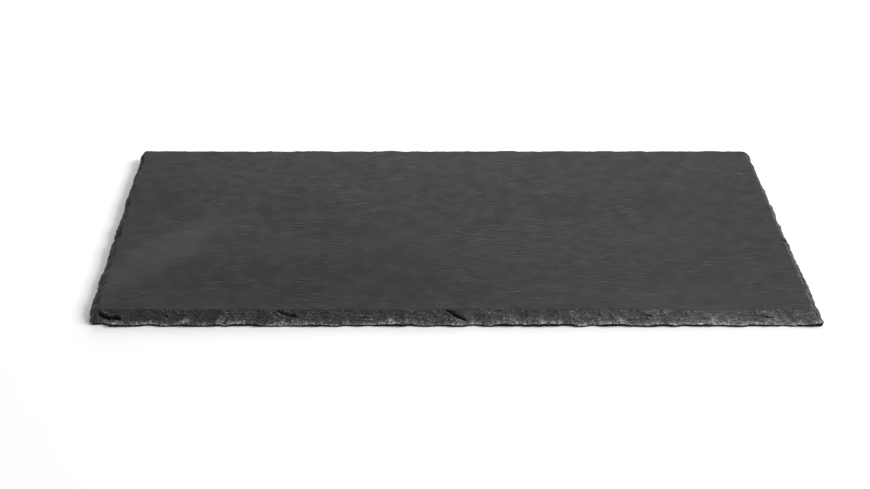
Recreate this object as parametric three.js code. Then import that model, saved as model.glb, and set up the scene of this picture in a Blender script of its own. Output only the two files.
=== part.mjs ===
// A slate slab for the table: one leaf of slate, split flat above and below, with its sides dressed by
// striking flakes off from above. The flake scars overlap all the way round as a belt of shallow hollows.
// They run from the top face down and outwards to a thin ragged lip, the arris, which is the widest line
// of the slab and overhangs the underside a little.
// Millimetres, +Z up. The origin is the middle of the footprint, on the surface that the slab rests on.
// +X runs along the length and -Y is the front.
import * as THREE from "three";

// Driving dimensions
const LENGTH = 500;
const WIDTH = 300;
const THICKNESS = 9;

// The sides in the order that the rim is followed, anticlockwise from above, starting at the front left
// corner. Each has its length, its distance out from the middle and the way that it faces, and how far
// its bevel runs in over the top face at the side's start and at its end.
const SIDES = {
  front: { length: LENGTH, out: WIDTH / 2, facing: -Math.PI / 2, bevel: [9.5, 9.5] },
  right: { length: WIDTH, out: LENGTH / 2, facing: 0, bevel: [7.5, 5] },
  back: { length: LENGTH, out: WIDTH / 2, facing: Math.PI / 2, bevel: [5, 5] },
  left: { length: WIDTH, out: LENGTH / 2, facing: Math.PI, bevel: [5, 7.5] },
};
const PERIMETER = 2 * (LENGTH + WIDTH);

// The corners' radii in the slab's outline, by whether they are at the front or back, left or right
const CORNER_RADIUS = { frontLeft: 11, frontRight: 4, backRight: 6, backLeft: 6 };

// Flake scars, struck at an uneven pitch. Each has a half width along the rim, a reach inwards over the
// top face, a height over the ground of the lip that it leaves, and a bite that it takes out of the outline.
const HALF_WIDTH = [8, 16];
const PITCH = [0.55, 1.05]; // in half widths
const REACH = [0.85, 1.12]; // in bevel runs
const LIP = [1.2, 2.5];
const LIP_RISE = 2; // from the middle of a scar's lip to its ends
const BITE = [0.3, 1.8];
const BITE_SPAN = 0.6; // half width of the bite, in half widths of the scar

// Scars in known places, by their distance along the rim from the front left corner: two that cut this
// corner off, and the larger ones on the front
const PLACED_SCARS = [
  { at: -9, halfWidth: 10, reach: 8, lip: 2, bite: 2.2 },
  { at: 8, halfWidth: 14, reach: 9.5, lip: 1.6, bite: 3 },
  { at: 41, halfWidth: 15, reach: 10.5, lip: 1.4, bite: 0.8 },
  { at: 184, halfWidth: 15, reach: 10.2, lip: 1.6, bite: 0.4 },
  { at: 262, halfWidth: 19, reach: 10.8, lip: 1.4, bite: 0.7 },
  { at: 474, halfWidth: 10, reach: 9.3, lip: 1.2, bite: 1.4 },
];

// The arris rises to a spur at the front right corner
const SPUR = { at: LENGTH, halfWidth: 9, height: 1.5 };

// The bevel's height rises with a power of the way in from the arris to the face. It is slightly hollow in
// front. On the other sides it is steep at the arris and rounds over to the face. It changes from one to
// the other just past the front corners.
const RISE_POWER = [1.15, 0.4];
const RISE_CHANGE = 15;

// Below the lip the edge falls back to the underside by this share of the lip's height
const UNDERCUT = 0.25;

// Mesh: stations round the rim, and the bevel's rings by their share of the way in from the arris
const STATIONS = 440;
const BEVEL_RINGS = [0, 0.25, 0.5, 0.75, 1];
const FACE_MARGIN = 16; // from the outline to the plain rectangle in the middle of each face

const mix = ([low, high], share) => low + (high - low) * share;

// A repeatable number from 0 to 1 for scar n; each property of a scar has its own salt
function chance(n, salt) {
  const wave = Math.sin(n * 12.9898 + salt * 78.233) * 43758.5453;
  return wave - Math.floor(wave);
}

// The side that distance `s` along the rim falls on, and how far along that side it is
function sideAt(s) {
  let along = s;
  for (const side of Object.values(SIDES)) {
    if (along < side.length) return { side, along };
    along -= side.length;
  }
  return { side: SIDES.front, along };
}

// Draws a point of the plain rectangle in where its corner is round: each square step out from the
// corner's centre becomes a round one
function roundCorner(point) {
  const radius = CORNER_RADIUS[(point.y < 0 ? "front" : "back") + (point.x < 0 ? "Left" : "Right")];
  const centre = new THREE.Vector2(
    Math.sign(point.x) * (LENGTH / 2 - radius),
    Math.sign(point.y) * (WIDTH / 2 - radius),
  );
  const out = point.clone().sub(centre);
  if (out.x * point.x <= 0 || out.y * point.y <= 0) return point;
  return out.multiplyScalar(Math.max(Math.abs(out.x), Math.abs(out.y)) / out.length()).add(centre);
}

// The point at distance `s` along the rim and `inset` in from it
function rimPoint(s, inset) {
  const { side, along } = sideAt(s);
  const share = along / side.length - 0.5;
  const point = new THREE.Vector2(side.out - inset, share * (side.length - 2 * inset));
  return roundCorner(point.rotateAround(new THREE.Vector2(), side.facing));
}

// Scars at random all round, and then those in known places
function strikeScars() {
  const scars = [];
  for (let s = 0, n = 1; s < PERIMETER; n += 1) {
    const halfWidth = mix(HALF_WIDTH, chance(n, 1));
    const { side, along } = sideAt(s);
    scars.push({
      at: s,
      halfWidth,
      reach: mix(side.bevel, along / side.length) * mix(REACH, chance(n, 2)),
      lip: mix(LIP, chance(n, 3)),
      bite: mix(BITE, chance(n, 4) ** 2),
    });
    s += halfWidth * mix(PITCH, chance(n, 5));
  }
  return [...scars, ...PLACED_SCARS];
}

const SCARS = strikeScars();

// How far `s` lies from a scar's middle along the rim, in the scar's half widths
function across(scar, s) {
  const gap = Math.abs(s - scar.at) % PERIMETER;
  return Math.min(gap, PERIMETER - gap) / scar.halfWidth;
}

// Height of the arris, scalloped by the scars
function lipHeight(s) {
  const spur = SPUR.height * Math.max(0, 1 - across(SPUR, s) ** 2);
  return spur + Math.min(...SCARS.map((scar) => scar.lip + LIP_RISE * across(scar, s) ** 2));
}

// How far in the scars have come, where the bevel meets the top face
function bevelReach(s) {
  return Math.max(...SCARS.map((scar) => scar.reach * Math.sqrt(Math.max(0, 1 - across(scar, s) ** 2))));
}

// How far the bites have moved the arris in from the plain outline
function biteDepth(s) {
  return Math.max(0, ...SCARS.map((scar) => scar.bite * (1 - (across(scar, s) / BITE_SPAN) ** 2)));
}

// The power that the bevel's height rises with
function risePower(s) {
  const pastFront = Math.max(0, Math.min(s - LENGTH, PERIMETER - s));
  return mix(RISE_POWER, Math.min(1, pastFront / RISE_CHANGE));
}

// One station of the rim: its points from the underside out to the arris and up the bevel to the face
function station(s) {
  const arris = biteDepth(s);
  const lip = lipHeight(s);
  const reach = bevelReach(s);
  const power = risePower(s);
  const rings = [{ inset: arris + lip * UNDERCUT, z: 0 }];
  for (const share of BEVEL_RINGS) {
    rings.push({ inset: mix([arris, reach], share), z: mix([lip, THICKNESS], share ** power) });
  }
  return rings.map(({ inset, z }) => {
    const point = rimPoint(s, inset);
    return [point.x, point.y, z];
  });
}

// The triangles of a flat face: the ragged border round a plain rectangle, and the rectangle's two halves.
// `border` and `middle` are the numbers of their points, both anticlockwise.
function faceTriangles(points, border, middle) {
  const flat = (index) => new THREE.Vector2(points[index][0], points[index][1]);
  const numbers = [...border, ...middle];
  const frame = THREE.ShapeUtils.triangulateShape(border.map(flat), [middle.map(flat)]);
  const [a, b, c, d] = middle;
  return [...frame.map((triangle) => triangle.map((i) => numbers[i])), [a, b, c], [a, c, d]];
}

function makeSlabGeometry() {
  const stations = Array.from({ length: STATIONS }, (_, i) => station((i / STATIONS) * PERIMETER));
  const points = stations.flat();
  const rings = BEVEL_RINGS.length + 1;
  const triangles = [];

  // The edge: bands of quads between neighbouring stations
  for (let i = 0; i < STATIONS; i += 1) {
    const here = i * rings;
    const next = ((i + 1) % STATIONS) * rings;
    for (let level = 0; level < rings - 1; level += 1) {
      triangles.push([here + level, next + level, next + level + 1]);
      triangles.push([here + level, next + level + 1, here + level + 1]);
    }
  }

  // The top face and the underside, which is turned over to face down
  const x = LENGTH / 2 - FACE_MARGIN;
  const y = WIDTH / 2 - FACE_MARGIN;
  for (const { z, ring, turned } of [
    { z: THICKNESS, ring: rings - 1, turned: false },
    { z: 0, ring: 0, turned: true },
  ]) {
    const border = stations.map((_, i) => i * rings + ring);
    const middle = [0, 1, 2, 3].map((corner) => points.length + corner);
    points.push([-x, -y, z], [x, -y, z], [x, y, z], [-x, y, z]);
    const face = faceTriangles(points, border, middle);
    triangles.push(...face.map(([a, b, c]) => (turned ? [c, b, a] : [a, b, c])));
  }

  const geometry = new THREE.BufferGeometry();
  geometry.setAttribute("position", new THREE.Float32BufferAttribute(points.flat(), 3));
  geometry.setIndex(triangles.flat());
  geometry.computeVertexNormals();
  return geometry;
}

function makeSlab() {
  const slate = new THREE.MeshStandardMaterial({ color: 0x454647, roughness: 0.6, metalness: 0 });
  const slab = new THREE.Mesh(makeSlabGeometry(), slate);
  slab.name = "slate_slab";
  return slab;
}

const part = new THREE.Group();
part.add(makeSlab());

export default part;
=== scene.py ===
"""A dark slate slab lying on a white studio floor.

The slab is one leaf of slate: a split top face with fine ripples along its length, and a dressed edge of
overlapping flake scars that ends below in a thin arris, dusted with crushed stone. It is one mesh, made
with numpy in millimetres in the part's own frame, and scaled to metres at the end.
"""
import math

import bpy
import numpy as np
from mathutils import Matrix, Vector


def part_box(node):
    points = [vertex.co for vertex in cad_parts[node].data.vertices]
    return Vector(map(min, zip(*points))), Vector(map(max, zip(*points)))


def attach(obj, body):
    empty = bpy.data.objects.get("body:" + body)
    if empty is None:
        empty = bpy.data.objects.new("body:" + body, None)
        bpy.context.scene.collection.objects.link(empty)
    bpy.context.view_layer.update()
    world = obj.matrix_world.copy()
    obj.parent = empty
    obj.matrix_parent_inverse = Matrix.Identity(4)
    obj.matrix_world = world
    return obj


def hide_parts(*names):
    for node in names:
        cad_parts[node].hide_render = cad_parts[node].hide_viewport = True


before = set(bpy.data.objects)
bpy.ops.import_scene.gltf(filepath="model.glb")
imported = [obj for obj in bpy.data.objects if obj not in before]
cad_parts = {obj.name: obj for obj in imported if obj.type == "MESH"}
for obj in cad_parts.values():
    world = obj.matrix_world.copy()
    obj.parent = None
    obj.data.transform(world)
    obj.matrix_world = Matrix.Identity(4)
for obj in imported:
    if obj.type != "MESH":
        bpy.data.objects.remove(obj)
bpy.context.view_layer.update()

MM = 0.001
slab_low, slab_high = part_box("slate_slab")
LENGTH = (slab_high.x - slab_low.x) / MM
WIDTH = (slab_high.y - slab_low.y) / MM
THICKNESS = (slab_high.z - slab_low.z) / MM

# The rim is followed anticlockwise from above, from the front left corner. For each side: its length, its
# distance out from the middle, the way that it faces, and the run of its bevel at its start and its end.
SIDES = (
    (LENGTH, WIDTH / 2, -90, 9.5, 9.5),
    (WIDTH, LENGTH / 2, 0, 7.5, 5),
    (LENGTH, WIDTH / 2, 90, 5, 5),
    (WIDTH, LENGTH / 2, 180, 5, 7.5),
)
PERIMETER = 2 * (LENGTH + WIDTH)
CORNER_RADIUS = {(-1, -1): 11, (1, -1): 4, (1, 1): 6, (-1, 1): 6}

# Mesh: cells of the top face and the underside along X and Y, stations of the rim along each side, and the
# distance from the outline to the cells
TOP_CELLS = (100, 240)
BASE_CELLS = (50, 30)
RIM_CELLS = (1200, 480, 400, 480)
FACE_MARGIN = 19.0

# Each station has rows of points: up from the underside to the arris, up the bevel, and in over the face
ARRIS_ROW = 3
BEVEL_ROWS = 19
FACE_STEPS = (0.7, 1.5, 2.6, 4.2)


# --- Repeatable noise -------------------------------------------------------------------------------

def chance(n, salt):
    """A repeatable number from 0 to 1 for each number in n."""
    wave = np.sin(n * 12.9898 + salt * 78.233) * 43758.5453
    return wave - np.floor(wave)


def mix(low, high, share):
    return low + (high - low) * share


def smooth(low, high, value):
    """0 below low, 1 above high and an S-curve between."""
    share = np.clip((value - low) / (high - low), 0, 1)
    return share * share * (3 - 2 * share)


def noise(x, y, size, salt):
    """Smooth noise from -1 to 1 with blobs of the given size, which may differ along X and Y."""
    size_x, size_y = size if isinstance(size, tuple) else (size, size)
    x, y = x / size_x, y / size_y
    column, row = np.floor(x), np.floor(y)
    u, v = smooth(0, 1, x - column), smooth(0, 1, y - row)

    def corner(i, j):
        return chance((column + i) * 7.13 + (row + j) * 157.31, salt)

    near = mix(corner(0, 0), corner(1, 0), u)
    far = mix(corner(0, 1), corner(1, 1), u)
    return 2 * mix(near, far, v) - 1


def layered_noise(x, y, size, salt, octaves):
    """Noise with finer and fainter noise on top."""
    size_x, size_y = size if isinstance(size, tuple) else (size, size)
    total = 0
    for octave in range(octaves):
        finer = 2.0 ** octave
        total = total + noise(x, y, (size_x / finer, size_y / finer), salt + octave) / finer
    return total / 1.6


# --- The rim ----------------------------------------------------------------------------------------

def rim_stations():
    """For each station of the rim: distance along the rim, side, and place on its side from -0.5 to 0.5."""
    start, along, side, share = 0, [], [], []
    for number, (length, *_) in enumerate(SIDES):
        cells = RIM_CELLS[number]
        places = np.arange(cells) / cells
        along.append(start + places * length)
        side.append(np.full(cells, number))
        share.append(places - 0.5)
        start += length
    return np.concatenate(along), np.concatenate(side), np.concatenate(share)


RIM_ALONG, RIM_SIDE, RIM_SHARE = rim_stations()


def round_corners(x, y):
    """Draws points of the plain rectangle in where its corners are round."""
    for (right, back), radius in CORNER_RADIUS.items():
        centre_x = right * (LENGTH / 2 - radius)
        centre_y = back * (WIDTH / 2 - radius)
        out_x, out_y = (x - centre_x) * right, (y - centre_y) * back
        inside = (out_x > 0) & (out_y > 0)
        reach = np.where(inside, np.hypot(out_x, out_y), 1)
        shrink = np.where(inside, np.maximum(out_x, out_y) / reach, 1)
        x = centre_x + right * out_x * shrink
        y = centre_y + back * out_y * shrink
    return x, y


def rim_points(inset):
    """Points of all stations at the given insets, an array with a row for each station."""
    length = np.array([side[0] for side in SIDES])[RIM_SIDE][:, None]
    out = np.array([side[1] for side in SIDES])[RIM_SIDE][:, None] - inset
    along = RIM_SHARE[:, None] * (length - 2 * inset)
    facing = np.radians([side[2] for side in SIDES])[RIM_SIDE][:, None]
    x = out * np.cos(facing) - along * np.sin(facing)
    y = out * np.sin(facing) + along * np.cos(facing)
    return round_corners(x, y)


# --- Flake scars ------------------------------------------------------------------------------------

# Flake scars as in the CAD solid, struck at an uneven pitch. Each has a half width along the rim, a reach
# inwards over the face, a height over the ground of the lip that it leaves, and a bite out of the outline.
HALF_WIDTH = (8, 16)
PITCH = (0.55, 1.05)  # in half widths
REACH = (0.85, 1.12)  # in bevel runs
LIP = (1.2, 2.5)
LIP_RISE = 2  # from the middle of a scar's lip to its ends
BITE = (0.3, 1.8)
BITE_SPAN = 0.6  # half width of the bite, in half widths of the scar
UNDERCUT = 0.25  # how far the underside lies in from the arris, in heights of the lip

# Scars in known places: distance along the rim, half width, reach, lip and bite. The first two cut the
# front left corner off, and the others are the larger ones in front.
PLACED_SCARS = (
    (-9, 10, 8, 2.0, 2.2),
    (8, 14, 9.5, 1.6, 3),
    (41, 15, 10.5, 1.4, 0.8),
    (184, 15, 10.2, 1.6, 0.4),
    (262, 19, 10.8, 1.4, 0.7),
    (474, 10, 9.3, 1.2, 1.4),
)

# The arris rises to a spur at the front right corner. Elsewhere its height stays between these two.
SPUR_HALF_WIDTH = 9
SPUR_HEIGHT = 1.5
LIP_LIMITS = (0.8, 3.0)

# The bevel's height rises with a power of the way in from the arris to the face: about straight in front,
# and on the other sides steep at the arris and rounded over to the face. It changes from one to the other
# over this distance past the front corners.
FRONT_POWER = 1.1
SIDE_POWER = 0.4
POWER_CHANGE = 15
LOWEST_BEVEL = 0.5

# Larger notches in the front bevel: distance along the rim, inset, half length, half breadth, lean in
# degrees and depth
FRONT_NOTCHES = (
    (11, 6, 9.5, 1.3, -11, 2.0),
    (51, 5.5, 10, 1.0, -23, 1.2),
    (135, 7, 11, 0.9, -12, 1.1),
    (187, 5.5, 9, 0.9, -5, 0.8),
    (253.5, 5.9, 10.5, 1.3, -19, 1.7),
    (382, 6.5, 8, 0.8, -15, 1.0),
    (466, 6, 5, 0.8, -8, 1.0),
)

# The floor of a notch: its rise per distance inwards, the share of the lean's drop that it follows, and the
# lowest that it lies. A notch ends well within its span, in half lengths from its middle.
FLOOR_RISE = 0.3
FLOOR_DROP = 0.6
LOWEST_FLOOR = 0.8
NOTCH_SPAN = 1.6

# The middle of each scar in a known place is left cleaner: how much of the scar, and how many of the
# notches there are left out
CLEAN_SPAN = 0.6
CLEANED = 0.75

# Notches at random, and hollows that run in from the arris: how many, and the range of each measure
NOTCHES = 3199
NOTCH_HALF_LENGTH = (0.9, 5.5)
NOTCH_HALF_BREADTH = (0.4, 1.0)
NOTCH_LEAN = (-18, 8)
NOTCH_DEPTH = (0.1, 0.5)
HOLLOWS = 199
HOLLOW_HALF_LENGTH = (1.0, 3.2)
HOLLOW_HALF_BREADTH = (1.5, 5.5)
HOLLOW_LEAN = (-25, 25)
HOLLOW_DEPTH = (0.25, 1.1)


def bevel_run(along):
    """How far the bevel runs in at a distance along the rim."""
    for length, _, _, at_start, at_end in SIDES:
        if along < length:
            return mix(at_start, at_end, along / length)
        along -= length
    return SIDES[0][3]


def strike_scars():
    """The scars of the CAD solid: at random round the rim, and then those in known places."""
    scars = []
    along, n = 0.0, 1
    while along < PERIMETER:
        half_width = mix(*HALF_WIDTH, chance(n, 1))
        reach = bevel_run(along) * mix(*REACH, chance(n, 2))
        lip = mix(*LIP, chance(n, 3))
        bite = mix(*BITE, chance(n, 4) ** 2)
        scars.append((along, half_width, reach, lip, bite))
        along += half_width * mix(*PITCH, chance(n, 5))
        n += 1
    return scars + list(PLACED_SCARS)


def rim_gap(at):
    """Distance of every station from a place on the rim, signed, the short way round."""
    return (RIM_ALONG - at + PERIMETER / 2) % PERIMETER - PERIMETER / 2


def rim_profile():
    """At each station: inset of the arris, height of its lip, and how far in the bevel comes.

    The scars of the CAD solid give these, and finer chips along the arris are added to them.
    """
    line = np.zeros_like(RIM_ALONG)
    bite = np.zeros_like(RIM_ALONG)
    lip = np.full_like(RIM_ALONG, THICKNESS)
    reach = np.zeros_like(RIM_ALONG)
    for at, half_width, depth, height, cut in strike_scars():
        across = np.abs(rim_gap(at)) / half_width
        bite = np.maximum(bite, cut * (1 - (across / BITE_SPAN) ** 2))
        lip = np.minimum(lip, height + LIP_RISE * across ** 2)
        reach = np.maximum(reach, depth * np.sqrt(np.clip(1 - across ** 2, 0, 1)))
    teeth = np.abs(noise(RIM_ALONG, line, 8, 66)) + 0.5 * np.abs(noise(RIM_ALONG, line, 3.5, 67))
    bite = bite - bite.min() + 0.8 * teeth + 0.1 * (1 + noise(RIM_ALONG, line, 1.5, 61))
    lip = np.clip(lip + 0.35 * layered_noise(RIM_ALONG, line, 6, 62, 3), *LIP_LIMITS)
    lip = lip + SPUR_HEIGHT * np.clip(1 - (rim_gap(LENGTH) / SPUR_HALF_WIDTH) ** 2, 0, 1)
    reach = reach + 0.7 * layered_noise(RIM_ALONG, line, 12, 63, 4)
    return bite, lip, reach


def face_height(x, y):
    """The split top face: broad swells, and short low ripples along the length."""
    middle = THICKNESS - 0.1
    swell = 0.10 * noise(x, y, (110, 70), 21) + 0.05 * noise(x, y, (45, 20), 22)
    ripple = 0.02 * layered_noise(x, y - 0.05 * x, (16, 3.4), 23, 2)
    return middle + swell + ripple


def cut_notch(height, unbroken, inset, notch):
    """Takes a thin flake off the unbroken bevel, which leaves a flatter floor with a steep wall behind it.

    A notch is its distance along the rim, inset, half length, half breadth, lean in degrees and depth. It
    goes little deeper than that anywhere, so that it stays shallow where the bevel is steep.
    """
    at, centre, half_length, half_breadth, lean, depth = notch
    gap = rim_gap(at)
    station = int(np.argmin(np.abs(gap)))
    row = int(np.argmin(np.abs(inset[station] - centre)))
    floor = unbroken[station, row] - depth
    deepest = 1.5 * depth + 0.3
    near = np.abs(gap) < NOTCH_SPAN * half_length
    along, inward = gap[near, None], inset[near] - centre
    turn = math.radians(lean)
    share = np.hypot(
        (along * math.cos(turn) + inward * math.sin(turn)) / half_length,
        (inward * math.cos(turn) - along * math.sin(turn)) / half_breadth,
    )
    drop = along * math.tan(turn)
    cut = floor + FLOOR_DROP * drop + FLOOR_RISE * (inward - drop) + depth * share ** 4
    cut = np.maximum(cut, unbroken[near] - deepest)
    height[near] = np.minimum(height[near], np.maximum(cut, LOWEST_FLOOR))


def strike_notches(height, unbroken, inset):
    """Notches at random all over the bevel, sparser in the scars in known places, and the larger ones."""
    for n in range(1, NOTCHES + 1):
        at = chance(n, 41) * PERIMETER
        clean = any(abs(at - scar[0]) < CLEAN_SPAN * scar[1] for scar in PLACED_SCARS)
        if clean and chance(n, 47) < CLEANED:
            continue
        half_length = mix(*NOTCH_HALF_LENGTH, chance(n, 44) ** 2)
        half_breadth = mix(*NOTCH_HALF_BREADTH, chance(n, 45))
        lean = mix(*NOTCH_LEAN, chance(n, 46))
        depth = mix(*NOTCH_DEPTH, chance(n, 43) ** 2)
        centre = chance(n, 42) * bevel_run(at)
        cut_notch(height, unbroken, inset, (at, centre, half_length, half_breadth, lean, depth))
    for notch in FRONT_NOTCHES:
        cut_notch(height, unbroken, inset, notch)


def strike_hollows(height, unbroken, inset):
    """Small round hollows that run in from the arris on the other three sides."""
    for n in range(1, HOLLOWS + 1):
        at = mix(LENGTH, PERIMETER, chance(n, 81))
        half_length = mix(*HOLLOW_HALF_LENGTH, chance(n, 82))
        half_breadth = mix(*HOLLOW_HALF_BREADTH, chance(n, 83))
        lean = mix(*HOLLOW_LEAN, chance(n, 84))
        depth = mix(*HOLLOW_DEPTH, chance(n, 85) ** 2)
        notch = (at, 0.6 * half_breadth, half_length, half_breadth, lean, depth)
        cut_notch(height, unbroken, inset, notch)


def layer_steps(height, x, y):
    """Breaks a slope into the stone's own layers: flat treads and steep risers."""
    layer = 0.9
    warp = 0.6 * noise(x, y, 17, 31) + 0.25 * noise(x, y, 6, 32)
    level = (height + warp) / layer
    tread = np.floor(level)
    stepped = (tread + smooth(0.5, 1.0, level - tread)) * layer - warp
    strength = 0.4 * smooth(-0.2, 0.6, noise(x, y, 20, 33))
    return mix(height, stepped, strength)


# --- Patches of the split face ----------------------------------------------------------------------

# Middle X and Y, half length, half breadth, turn in degrees, and how much paler than the rest (darker if
# negative)
PATCHES = (
    (-210, -52, 78, 22, 57, 1.25),
    (-90, -95, 125, 46, -3, -0.65),
    (-105, 12, 80, 32, -53, -0.4),
    (-218, 52, 50, 26, -50, -0.4),
    (-15, 120, 70, 24, 0, 0.25),
    (60, 30, 180, 40, 0, -0.2),
    (135, -12, 60, 26, -12, 0.25),
    (200, -130, 90, 45, 0, 0.4),
)


def patches_and_painted_light(x, y):
    """How pale the split face is: in large soft patches, and a little more to the right and the front, which
    is painted light.
    """
    total = 0.1 * x / (LENGTH / 2) - 0.2 * y / (WIDTH / 2)
    warp_x = x + 12 * layered_noise(x, y, (30, 14), 71, 3)
    warp_y = y + 8 * layered_noise(x, y, (40, 14), 75, 3)
    for middle_x, middle_y, half_length, half_breadth, degrees, strength in PATCHES:
        turn = math.radians(degrees)
        away_x, away_y = warp_x - middle_x, warp_y - middle_y
        along = (away_x * math.cos(turn) + away_y * math.sin(turn)) / half_length
        across = (away_y * math.cos(turn) - away_x * math.sin(turn)) / half_breadth
        total = total + strength * np.exp(-(along ** 2 + across ** 2) ** 2)
    return total


# --- The slab's mesh --------------------------------------------------------------------------------

# What the marks on the edge are worked out from: the depths of a notch where its painted shade begins and is
# full, how far a full ridge stands proud of its neighbours, and how far crushed stone spreads in from the
# arris
CAVITY_DEPTH = (0.8, 1.8)
FULL_RIDGE = 0.4
CRUSHED_BREADTH = 2.2

# Painted light and shade on the dressed edge, as how pale it is at distances along the rim: palest at the
# right end of the front
PAINTED_RIM_LIGHT = (
    (0, 0.1), (250, 0.3), (430, 0.9), (500, 1), (512, 0.55),
    (800, 0.3), (1300, 0.5), (1590, 0.8), (1600, 0.2),
)


def edge_insets(arris, lip, reach):
    """Insets of the rim's rows: up from the underside over the arris, up the bevel and on to the face."""
    rows = [arris + UNDERCUT * lip, arris + 0.12 * lip, arris + 0.1]
    rows += [mix(arris, reach, share) for share in np.linspace(0, 1, BEVEL_ROWS)]
    rows += [reach + step for step in FACE_STEPS]
    rows += [np.full_like(arris, FACE_MARGIN - 1.5)]
    return np.stack(rows, axis=1)


def bevel_power(x, y):
    """The power that the bevel's height rises with, which varies a little from place to place."""
    past_front = np.minimum(RIM_ALONG - LENGTH, PERIMETER - RIM_ALONG)
    power = mix(FRONT_POWER, SIDE_POWER, np.clip(past_front / POWER_CHANGE, 0, 1))
    return power[:, None] + 0.12 * noise(x, y, 30, 64)


def bevel_heights(x, y, inset, profile):
    """Heights of the bevel at the rim's points, and how much painted shade each gets for lying deep in a
    notch, from 0 to 1.
    """
    arris, lip, reach = (values[:, None] for values in profile)
    share = np.clip((inset - arris) / (reach - arris), 0, None)
    unbroken = layer_steps(mix(lip, THICKNESS, share ** bevel_power(x, y)), x, y)
    bevel = unbroken.copy()
    strike_notches(bevel, unbroken, inset)
    strike_hollows(bevel, unbroken, inset)
    cavity_shade = smooth(*CAVITY_DEPTH, unbroken - bevel)
    rough = 0.1 + 0.12 * smooth(-0.5, 0.5, noise(x, y, 40, 65))
    bevel = bevel + rough * layered_noise(x, y, 2.2, 51, 3)

    # Past the scars' reach the bevel climbs above the face, which takes over
    bevel = bevel + 2 * np.clip(inset - reach, 0, None)
    return bevel, cavity_shade


def edge_heights(face, bevel):
    """Heights of the rim's rows: the lower of face and bevel, and below the arris down to the underside."""
    z = np.maximum(np.minimum(face, bevel), LOWEST_BEVEL)
    arris = z[:, ARRIS_ROW]
    z[:, 2] = arris - 0.2
    z[:, 1] = 0.45 * arris
    z[:, 0] = 0
    return z


def ridge_mark(z):
    """How far each point of the rim's rows stands proud of its neighbours, from -1 to 1."""
    around = (np.roll(z, 1, 0) + np.roll(z, -1, 0)) / 2
    up_down = z.copy()
    up_down[:, 1:-1] = (z[:, :-2] + z[:, 2:]) / 2
    return np.clip((2 * z - around - up_down) / FULL_RIDGE, -1, 1)


def dust_and_undercut_shade_mark(inset, arris):
    """1 at the arris and fainter away from it and off the front, where crushed stone dusts the edge. Below
    the arris it is -1, which the colour turns into painted shade on the band under the arris.
    """
    in_front = np.where(RIM_SIDE == 0, 1, 0.4)[:, None]
    mark = in_front * np.exp((arris[:, None] - inset) / CRUSHED_BREADTH)
    mark[:, :ARRIS_ROW] = -1
    return mark


def make_edge():
    """Points of the rim's rows and the marks that the material reads, arrays of stations by rows."""
    profile = rim_profile()
    inset = edge_insets(*profile)
    x, y = rim_points(inset)
    bevel, cavity_shade = bevel_heights(x, y, inset, profile)
    face = face_height(x, y)
    z = edge_heights(face, bevel)
    marks = {
        "dressed": smooth(-0.05, 0.5, face - z),
        "dust_and_undercut_shade": dust_and_undercut_shade_mark(inset, profile[0]),
        "ridge": ridge_mark(z),
        "cavity_shade": cavity_shade,
        "painted_rim_light": np.interp(RIM_ALONG, *zip(*PAINTED_RIM_LIGHT))[:, None] + np.zeros_like(z),
        "patches_and_painted_light": patches_and_painted_light(x, y),
    }
    return x, y, z, inset, marks


def border_faces(ring, grid, cells):
    """Faces that join a row of the rim, with all its stations, to the fewer points of a grid's border."""
    border = np.concatenate([grid[0, :-1], grid[:-1, -1], grid[-1, :0:-1], grid[:0:-1, 0]])
    faces = []
    station, corner = 0, 0
    for side in range(4):
        count = cells[side % 2]
        group = RIM_CELLS[side] // count
        for _ in range(count):
            outer = [int(ring[(station + step) % len(ring)]) for step in range(group + 1)]
            inner = [int(border[(corner + 1) % len(border)]), int(border[corner])]
            faces.append(outer + inner)
            station += group
            corner += 1
    return faces


def grid_faces(grid):
    """Quads of a grid of point numbers."""
    quads = np.stack([grid[:-1, :-1], grid[:-1, 1:], grid[1:, 1:], grid[1:, :-1]], axis=-1)
    return quads.reshape(-1, 4).tolist()


def face_grid(cells, first):
    """X, Y and numbers of a grid over the plain middle of a face."""
    columns, rows = cells
    x = np.linspace(-0.5, 0.5, columns + 1) * (LENGTH - 2 * FACE_MARGIN)
    y = np.linspace(-0.5, 0.5, rows + 1) * (WIDTH - 2 * FACE_MARGIN)
    x, y = np.meshgrid(x, y)
    return x, y, first + np.arange(x.size).reshape(x.shape)


def slab_faces(edge, top, base):
    """All faces, turned outwards: the edge, the top face with its border, and the underside with its own."""
    looped = np.concatenate([edge, edge[:1]])
    faces = grid_faces(looped.T) + grid_faces(top) + border_faces(edge[:, -1], top, TOP_CELLS)
    underside = grid_faces(base) + border_faces(edge[:, 0], base, BASE_CELLS)
    return faces + [face[::-1] for face in underside]


def add_rim_place(mesh, inset, z, plain):
    """Marks each point of the rim with its distance along it, its inset and its height, in metres."""
    along = np.broadcast_to(RIM_ALONG[:, None], inset.shape)
    places = np.stack([along, inset, z], axis=-1).reshape(-1, 3) * MM
    places = np.concatenate([places, np.zeros((plain, 3))])
    mark = mesh.attributes.new("rim_place", "FLOAT_VECTOR", "POINT")
    mark.data.foreach_set("vector", places.ravel().astype(np.float32))


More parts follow.
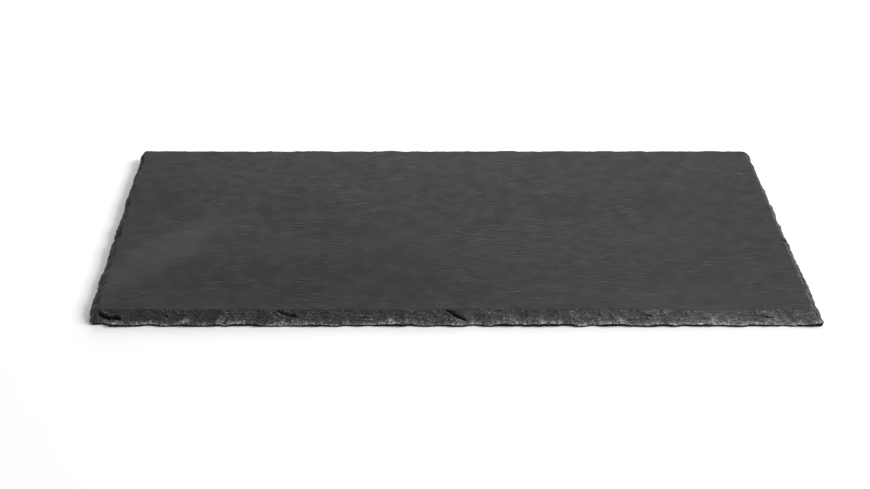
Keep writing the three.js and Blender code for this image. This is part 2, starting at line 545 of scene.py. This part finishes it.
def make_slab_mesh():
    """The whole slab as one closed mesh, with the marks that its material reads."""
    x, y, z, inset, marks = make_edge()
    edge = np.arange(x.size).reshape(x.shape)
    top_x, top_y, top = face_grid(TOP_CELLS, x.size)
    base_x, base_y, base = face_grid(BASE_CELLS, x.size + top.size)
    points = np.stack([
        np.concatenate([x.ravel(), top_x.ravel(), base_x.ravel()]),
        np.concatenate([y.ravel(), top_y.ravel(), base_y.ravel()]),
        np.concatenate([z.ravel(), face_height(top_x, top_y).ravel(), base_x.ravel() * 0]),
    ], axis=1)
    mesh = bpy.data.meshes.new("slate")
    mesh.from_pydata((points * MM).tolist(), [], slab_faces(edge, top, base))

    # Off the edge every mark is 0 but the face's patches and painted light, which the underside has mirrored
    plain = np.zeros(top.size + base.size)
    plain_marks = {name: plain for name in marks}
    plain_marks["patches_and_painted_light"] = np.concatenate([patches_and_painted_light(top_x, top_y).ravel(), patches_and_painted_light(-base_x, base_y).ravel()])
    for name, values in marks.items():
        mark = mesh.attributes.new(name, "FLOAT", "POINT")
        values = np.concatenate([values.ravel(), plain_marks[name]])
        mark.data.foreach_set("value", values.astype(np.float32))
    add_rim_place(mesh, inset, z, plain.size)
    mesh.shade_smooth()
    mesh.set_sharp_from_angle(angle=math.radians(38))
    return mesh


# --- Materials --------------------------------------------------------------------------------------

class Nodes:
    """Short calls for building a material's node tree."""

    def __init__(self, name):
        self.material = bpy.data.materials.new(name)
        self.material.use_nodes = True
        self.tree = self.material.node_tree
        self.shader = self.tree.nodes["Principled BSDF"]

    def add(self, kind, inputs=None, output=0, **settings):
        """Adds a node and gives one of its outputs. An input is a value or another node's output."""
        made = self.tree.nodes.new("ShaderNode" + kind)
        for name, value in settings.items():
            setattr(made, name, value)
        for name, value in (inputs or {}).items():
            self.set(made, name, value)
        return made.outputs[output]

    def set(self, made, name, value):
        if isinstance(value, bpy.types.NodeSocket):
            self.tree.links.new(value, made.inputs[name])
        else:
            made.inputs[name].default_value = value

    def math(self, operation, a, b, clamp=False):
        return self.add("Math", {0: a, 1: b}, operation=operation, use_clamp=clamp)

    def span(self, value, low, high, to_low=0.0, to_high=1.0):
        """Value stretched from low..high to to_low..to_high, and held there."""
        names = {"Value": value, "From Min": low, "From Max": high, "To Min": to_low, "To Max": to_high}
        return self.add("MapRange", names)

    def blend(self, share, a, b):
        """Colour a where share is 0 and b where it is 1."""
        made = self.tree.nodes.new("ShaderNodeMix")
        made.data_type = "RGBA"
        self.set(made, 0, share)
        self.set(made, 6, a)
        self.set(made, 7, b)
        return made.outputs[2]

    def noise(self, place, scale, detail, roughness=0.5, distortion=0.0):
        names = {"Vector": place, "Scale": scale, "Detail": detail}
        names.update({"Roughness": roughness, "Distortion": distortion})
        return self.add("TexNoise", names)

    def stretched(self, place, scale, turn=0.0, shift=(0, 0, 0)):
        """Coordinates scaled along X, Y and Z, turned about Z and then moved."""
        names = {"Vector": place, "Scale": scale, "Rotation": (0, 0, math.radians(turn)), "Location": shift}
        return self.add("Mapping", names)

    def mark(self, name):
        """A number that the mesh carries for each of its points."""
        return self.add("Attribute", attribute_name=name, output=2)


def grey(value, red=1.0, blue=1.0):
    """A grey with its red and blue a little stronger or weaker than its green."""
    return (value * red, value, value * blue, 1)


def stroke_steps(n, place):
    """Short low steps along X: above 0 on the side of a step that faces up, below 0 under its lip. The
    face's colour paints light on the first and shade on the second.
    """
    sway = n.span(n.noise(place, 14, 1), 0.3, 0.7, -0.006, 0.006)
    place = n.add("VectorMath", {0: place, 1: n.add("CombineXYZ", {"Y": sway})}, operation="ADD")
    scale = (105, 340, 1)
    here = n.noise(n.stretched(place, scale), 1.0, 1)
    behind = n.noise(n.stretched(place, scale, shift=(0, 0.45, 0)), 1.0, 1)
    steps = n.math("SUBTRACT", here, behind)
    clusters = n.span(n.noise(place, 24, 2), 0.38, 0.58, 0.4, 1.0)
    return n.math("MULTIPLY", steps, clusters)


def face_colour(n, place, to_right, steps):
    """The split face: dark grey in soft patches, with short pale and dark strokes that are painted light on
    the upturned side of a step and painted shade under its lip.
    """
    clouds = n.span(n.noise(n.stretched(place, (18, 45, 45)), 1.0, 4, 0.6), 0.3, 0.7, -0.25, 0.25)
    tone = n.span(n.math("ADD", n.mark("patches_and_painted_light"), clouds), -1.2, 1.2)
    face = n.blend(tone, grey(0.008), n.blend(to_right, grey(0.035), grey(0.031, blue=1.1)))
    grain = n.noise(n.stretched(place, (500, 1400, 1400)), 1.0, 2)
    face = n.blend(n.span(grain, 0.3, 0.7, 0.0, 0.06), face, grey(0.045))
    # Painted light on the upturned sides of the steps, and painted shade under their lips
    face = n.blend(n.span(steps, 0.10, 0.24, 0.0, 0.35), face, grey(0.08))
    return n.blend(n.span(steps, -0.10, -0.24, 0.0, 0.4), face, grey(0.004))


def crushed_stone(n):
    """Where the arris is dusted with crushed stone: in specks close to it, and in a few patches above."""
    place = n.add("Attribute", attribute_name="rim_place", output=1)
    dust_and_undercut_shade = n.mark("dust_and_undercut_shade")
    clusters = n.span(n.noise(n.stretched(place, (90, 30, 30)), 1.0, 2), 0.38, 0.6, 0.15, 1.0)
    specks = n.noise(n.stretched(place, (1000, 600, 600)), 1.0, 3, 0.7)
    close = n.math("MULTIPLY", n.span(specks, 0.46, 0.56), n.span(dust_and_undercut_shade, 0.3, 0.8))
    patches = n.span(n.noise(n.stretched(place, (130, 60, 60)), 1.0, 2, 0.6), 0.53, 0.64)
    above = n.math("MULTIPLY", n.span(specks, 0.42, 0.62), n.span(dust_and_undercut_shade, 0.08, 0.4))
    above = n.math("MULTIPLY", above, patches)
    return n.math("MULTIPLY", n.math("MAXIMUM", close, above), clusters, clamp=True)


def edge_colour(n, place, rough):
    """The dressed edge: mottled where it is rough, pale on worn ridges and the arris, with painted light
    along the rim, and painted shade in notches and on the band under the arris.
    """
    # How pale the edge is along the rim is painted light and shade
    painted_rim_light = n.mark("painted_rim_light")
    mottle = n.math("MULTIPLY", n.span(n.noise(place, 500, 6, 0.75), 0.38, 0.62), rough)
    dark = n.blend(painted_rim_light, grey(0.026), grey(0.064, 0.95, 1.02))
    edge = n.blend(mottle, dark, n.blend(painted_rim_light, grey(0.068), grey(0.19, 0.95, 1.02)))
    flecks = n.span(n.noise(place, 1100, 3, 0.6), 0.53, 0.61)
    ridge = n.mark("ridge")
    worn = n.math("MULTIPLY", n.span(ridge, 0.05, 0.5), n.math("MULTIPLY", flecks, rough))
    edge = n.blend(worn, edge, n.blend(painted_rim_light, grey(0.33), grey(0.68, 0.95, 1.02)))
    # Painted shade along the foot of each notch, where the edge lies below its neighbours
    edge = n.blend(n.span(ridge, -0.3, -1.0, 0.0, 0.4), edge, grey(0.01))
    # Painted shade deep in the larger notches
    edge = n.blend(n.mark("cavity_shade"), edge, grey(0.006))
    edge = n.blend(crushed_stone(n), edge, n.blend(painted_rim_light, grey(0.47), grey(0.8, 0.97, 1.01)))
    # Painted shade on the band under the arris
    return n.blend(n.span(n.mark("dust_and_undercut_shade"), -0.5, -0.9), edge, grey(0.022))


def make_slate_material():
    n = Nodes("slate")
    place = n.add("TexCoord", output=3)
    dressed = n.mark("dressed")
    to_right = n.span(n.add("SeparateXYZ", {0: place}), -LENGTH * MM / 2, LENGTH * MM / 2)
    steps = stroke_steps(n, place)
    face = face_colour(n, place, to_right, steps)
    rough = n.span(n.noise(place, 70, 2), 0.42, 0.58, 0.35, 1.0)
    rough = n.math("MULTIPLY", rough, n.span(to_right, 0.0, 0.5, 0.6, 1.0))
    n.set(n.shader, "Base Color", n.blend(dressed, face, edge_colour(n, place, rough)))

    # Sheen
    gloss = n.span(n.noise(place, 90, 3), 0.3, 0.7, 0.65, 0.75)
    n.set(n.shader, "Roughness", n.blend(dressed, gloss, grey(0.85)))
    n.set(n.shader, "Specular IOR Level", 0.043)

    # Relief too fine for the mesh: ripples, steps and grain on the face, splinters on the edge
    ripple = n.noise(n.stretched(place, (75, 420, 1), 3), 1.0, 3, 0.55, 0.4)
    fine = n.noise(n.stretched(place, (900, 2200, 1)), 1.0, 2)
    face_relief = n.math("ADD", n.math("MULTIPLY", ripple, 0.08), n.math("MULTIPLY", fine, 0.1))
    face_relief = n.math("ADD", face_relief, n.math("MULTIPLY", steps, 0.18))
    splinters = n.noise(n.stretched(place, (900, 900, 1500)), 1.0, 6, 0.75)
    splinters = n.math("MULTIPLY", splinters, n.math("MULTIPLY", rough, 4.5))
    relief = n.add("Mix", {0: dressed, 2: face_relief, 3: splinters})
    bump = n.add("Bump", {"Strength": 1.0, "Distance": 0.0003, "Height": relief})
    n.set(n.shader, "Normal", bump)
    return n.material


def make_floor_material():
    n = Nodes("floor")
    n.set(n.shader, "Base Color", grey(0.9))
    n.set(n.shader, "Roughness", 0.9)
    n.set(n.shader, "Specular IOR Level", 0.1)
    return n.material


# --- The scene --------------------------------------------------------------------------------------

def add_object(name, data):
    made = bpy.data.objects.new(name, data)
    bpy.context.scene.collection.objects.link(made)
    return made


CAMERA_PLACE = (-0.036, -1.2388, 0.5692)
CAMERA_DOWN = 24.98  # degrees below level


def add_camera():
    """Looks down at the slab along +Y, from a little to the left of its middle."""
    lens = bpy.data.cameras.new("camera")
    lens.lens = 75.4
    lens.sensor_width = 36
    lens.shift_x = 0.0386
    camera = add_object("camera", lens)
    camera.location = CAMERA_PLACE
    camera.rotation_euler = (math.radians(90 - CAMERA_DOWN), 0, 0)
    bpy.context.scene.camera = camera


def add_area_light(name, place, width, height, power):
    """An upright light that faces the middle of the slab."""
    lamp = bpy.data.lights.new(name, "AREA")
    lamp.shape = "RECTANGLE"
    lamp.size, lamp.size_y = width, height
    lamp.energy = power
    light = add_object(name, lamp)
    light.location = place
    light.rotation_euler = (-light.location).to_track_quat("-Z", "Y").to_euler()


def add_lights():
    add_area_light("key", (2.6, 0.1, 1.87), 3.0, 1.2, 127)
    add_area_light("behind", (0.2, 2.6, 0.9), 2.2, 1.6, 68)
    world = bpy.data.worlds.new("studio")
    world.use_nodes = True
    world.node_tree.nodes["Background"].inputs["Color"].default_value = (1, 1, 1, 1)
    world.node_tree.nodes["Background"].inputs["Strength"].default_value = 0.385
    bpy.context.scene.world = world
    bpy.context.scene.view_settings.view_transform = "Standard"


def add_floor():
    half = 6.0
    corners = [(-half, -half, 0), (half, -half, 0), (half, half, 0), (-half, half, 0)]
    mesh = bpy.data.meshes.new("floor")
    mesh.from_pydata(corners, [], [(0, 1, 2, 3)])
    mesh.materials.append(make_floor_material())
    floor = add_object("floor", mesh)


def add_slab():
    mesh = make_slab_mesh()
    mesh.materials.append(make_slate_material())
    slab = add_object("riven_slate", mesh)
    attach(slab, "root")
    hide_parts("slate_slab")


add_camera()
add_lights()
add_floor()
add_slab()
